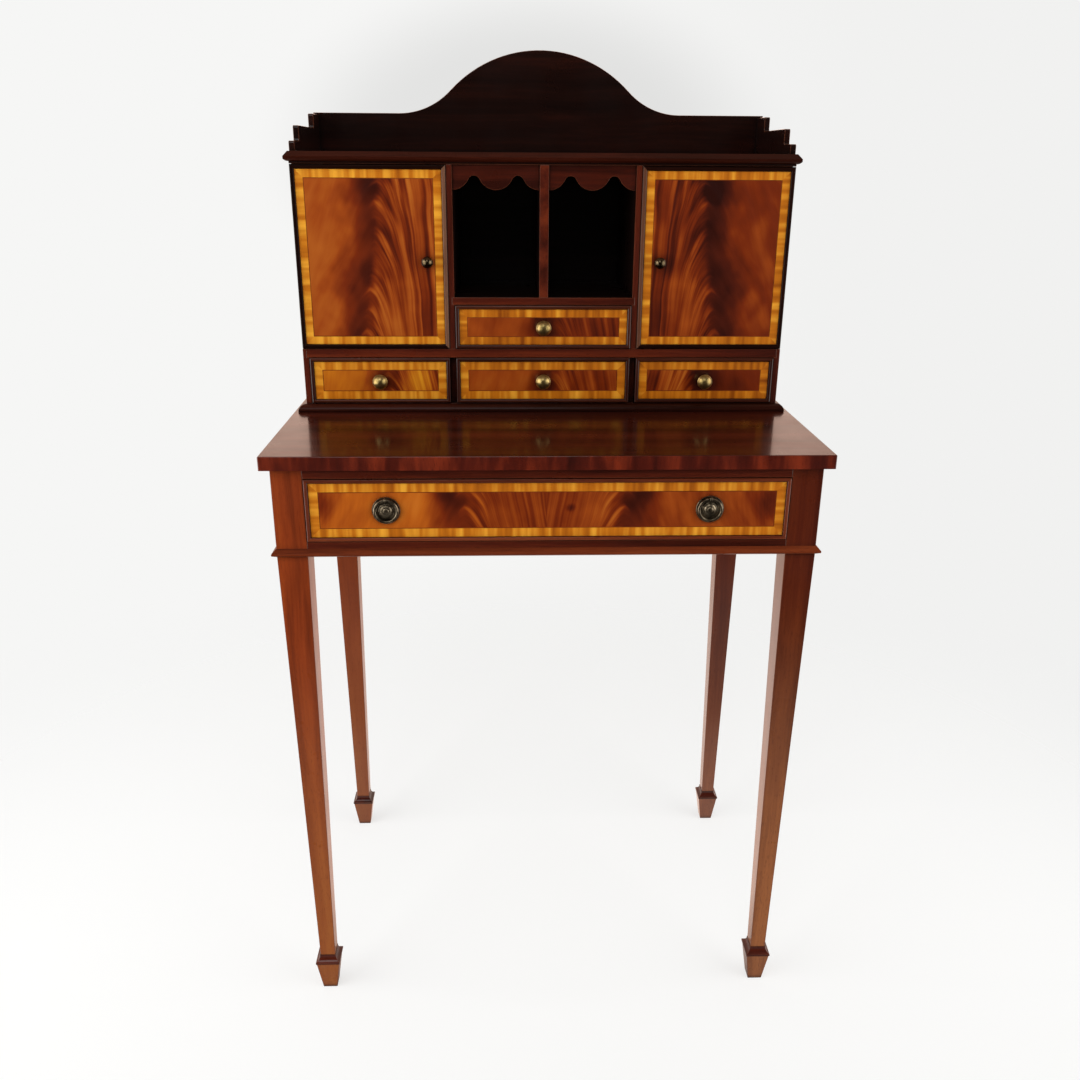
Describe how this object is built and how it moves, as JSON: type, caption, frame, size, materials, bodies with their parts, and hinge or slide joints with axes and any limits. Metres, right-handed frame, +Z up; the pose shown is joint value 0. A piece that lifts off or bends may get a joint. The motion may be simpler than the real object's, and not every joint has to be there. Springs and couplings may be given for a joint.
{
  "type": "bonheur du jour",
  "caption": "Small writing table on tapered legs, with a long drawer and a set-back cabinet of cupboards, pigeonholes and small drawers under an arched gallery.",
  "frame": {"origin": "on the floor under the middle of the writing top", "axes": "+X to the right as seen from the front, -Y to the front, +Z up"},
  "size_m": [0.64, 0.428, 1.2019],
  "materials": {
    "mahogany": "polished",
    "flame_veneer": "polished",
    "secondary_wood": "sawn",
    "drawer_lining": "planed",
    "brass": "aged",
    "bronze": "dark patina"
  },
  "bodies": {
    "carcase": {"writing_top": "mahogany", "leg_front_left": "mahogany", "leg_front_right": "mahogany", "leg_back_left": "mahogany", "leg_back_right": "mahogany", "toe_collars": "mahogany", "side_rail_left": "mahogany", "side_rail_right": "mahogany", "back_rail": "secondary_wood", "front_rail_bottom": "mahogany", "front_rail_top": "mahogany", "apron_moulding": "mahogany", "drawer_runners": "secondary_wood", "drawer_kickers": "secondary_wood", "stop_blocks": "secondary_wood", "cabinet_base": "mahogany", "dust_board": "mahogany", "cabinet_side_left": "mahogany", "cabinet_side_right": "mahogany", "gallery_side_left": "mahogany", "gallery_side_right": "mahogany", "lower_partitions": "mahogany", "upper_partitions": "mahogany", "pigeonhole_floor": "mahogany", "pigeonhole_divider": "mahogany", "valances": "mahogany", "cabinet_top": "mahogany", "cabinet_back": "secondary_wood", "base_moulding": "mahogany", "cornice_moulding": "mahogany", "gallery_back": "mahogany", "hinge_frame_leaves": "brass", "hinge_pins": "brass"},
    "long_drawer": {"drawer_front": "flame_veneer", "drawer_cockbead": "mahogany", "drawer_side_left": "drawer_lining", "drawer_side_right": "drawer_lining", "drawer_back": "drawer_lining", "drawer_bottom": "drawer_lining", "pull_plates": "bronze"},
    "left_pull": {"pull_ring_left": "bronze"},
    "right_pull": {"pull_ring_right": "bronze"},
    "left_door": {"door_left": "flame_veneer", "door_left_knob": "bronze", "door_left_hinge_leaves": "brass"},
    "right_door": {"door_right": "flame_veneer", "door_right_knob": "bronze", "door_right_hinge_leaves": "brass"},
    "upper_drawer": {"upper_drawer_front": "flame_veneer", "upper_drawer_box": "drawer_lining", "upper_drawer_knob": "brass"},
    "lower_drawer": {"lower_drawer_front": "flame_veneer", "lower_drawer_box": "drawer_lining", "lower_drawer_knob": "brass"},
    "left_drawer": {"left_drawer_front": "flame_veneer", "left_drawer_box": "drawer_lining", "left_drawer_knob": "brass"},
    "right_drawer": {"right_drawer_front": "flame_veneer", "right_drawer_box": "drawer_lining", "right_drawer_knob": "brass"}
  },
  "joints": [
    {"name": "long_drawer_slide", "type": "slide", "parent": "carcase", "child": "long_drawer", "axis": [0, -1, 0], "range_m": [0, 0.28]},
    {"name": "left_pull_hinge", "type": "hinge", "parent": "long_drawer", "child": "left_pull", "pos_m": [-0.184, -0.2034, 0.7058], "axis": [-1, 0, 0], "range_deg": [0, 90]},
    {"name": "right_pull_hinge", "type": "hinge", "parent": "long_drawer", "child": "right_pull", "pos_m": [0.184, -0.2034, 0.7058], "axis": [-1, 0, 0], "range_deg": [0, 90]},
    {"name": "left_door_hinge", "type": "hinge", "parent": "carcase", "child": "left_door", "pos_m": [-0.3054, 0.02025, 0.9495], "axis": [0, 0, -1], "range_deg": [0, 175]},
    {"name": "right_door_hinge", "type": "hinge", "parent": "carcase", "child": "right_door", "pos_m": [0.3054, 0.02025, 0.9495], "axis": [0, 0, 1], "range_deg": [0, 175]},
    {"name": "upper_drawer_slide", "type": "slide", "parent": "carcase", "child": "upper_drawer", "axis": [0, -1, 0], "range_m": [0, 0.15]},
    {"name": "lower_drawer_slide", "type": "slide", "parent": "carcase", "child": "lower_drawer", "axis": [0, -1, 0], "range_m": [0, 0.15]},
    {"name": "left_drawer_slide", "type": "slide", "parent": "carcase", "child": "left_drawer", "axis": [0, -1, 0], "range_m": [0, 0.15]},
    {"name": "right_drawer_slide", "type": "slide", "parent": "carcase", "child": "right_drawer", "axis": [0, -1, 0], "range_m": [0, 0.15]}
  ]
}
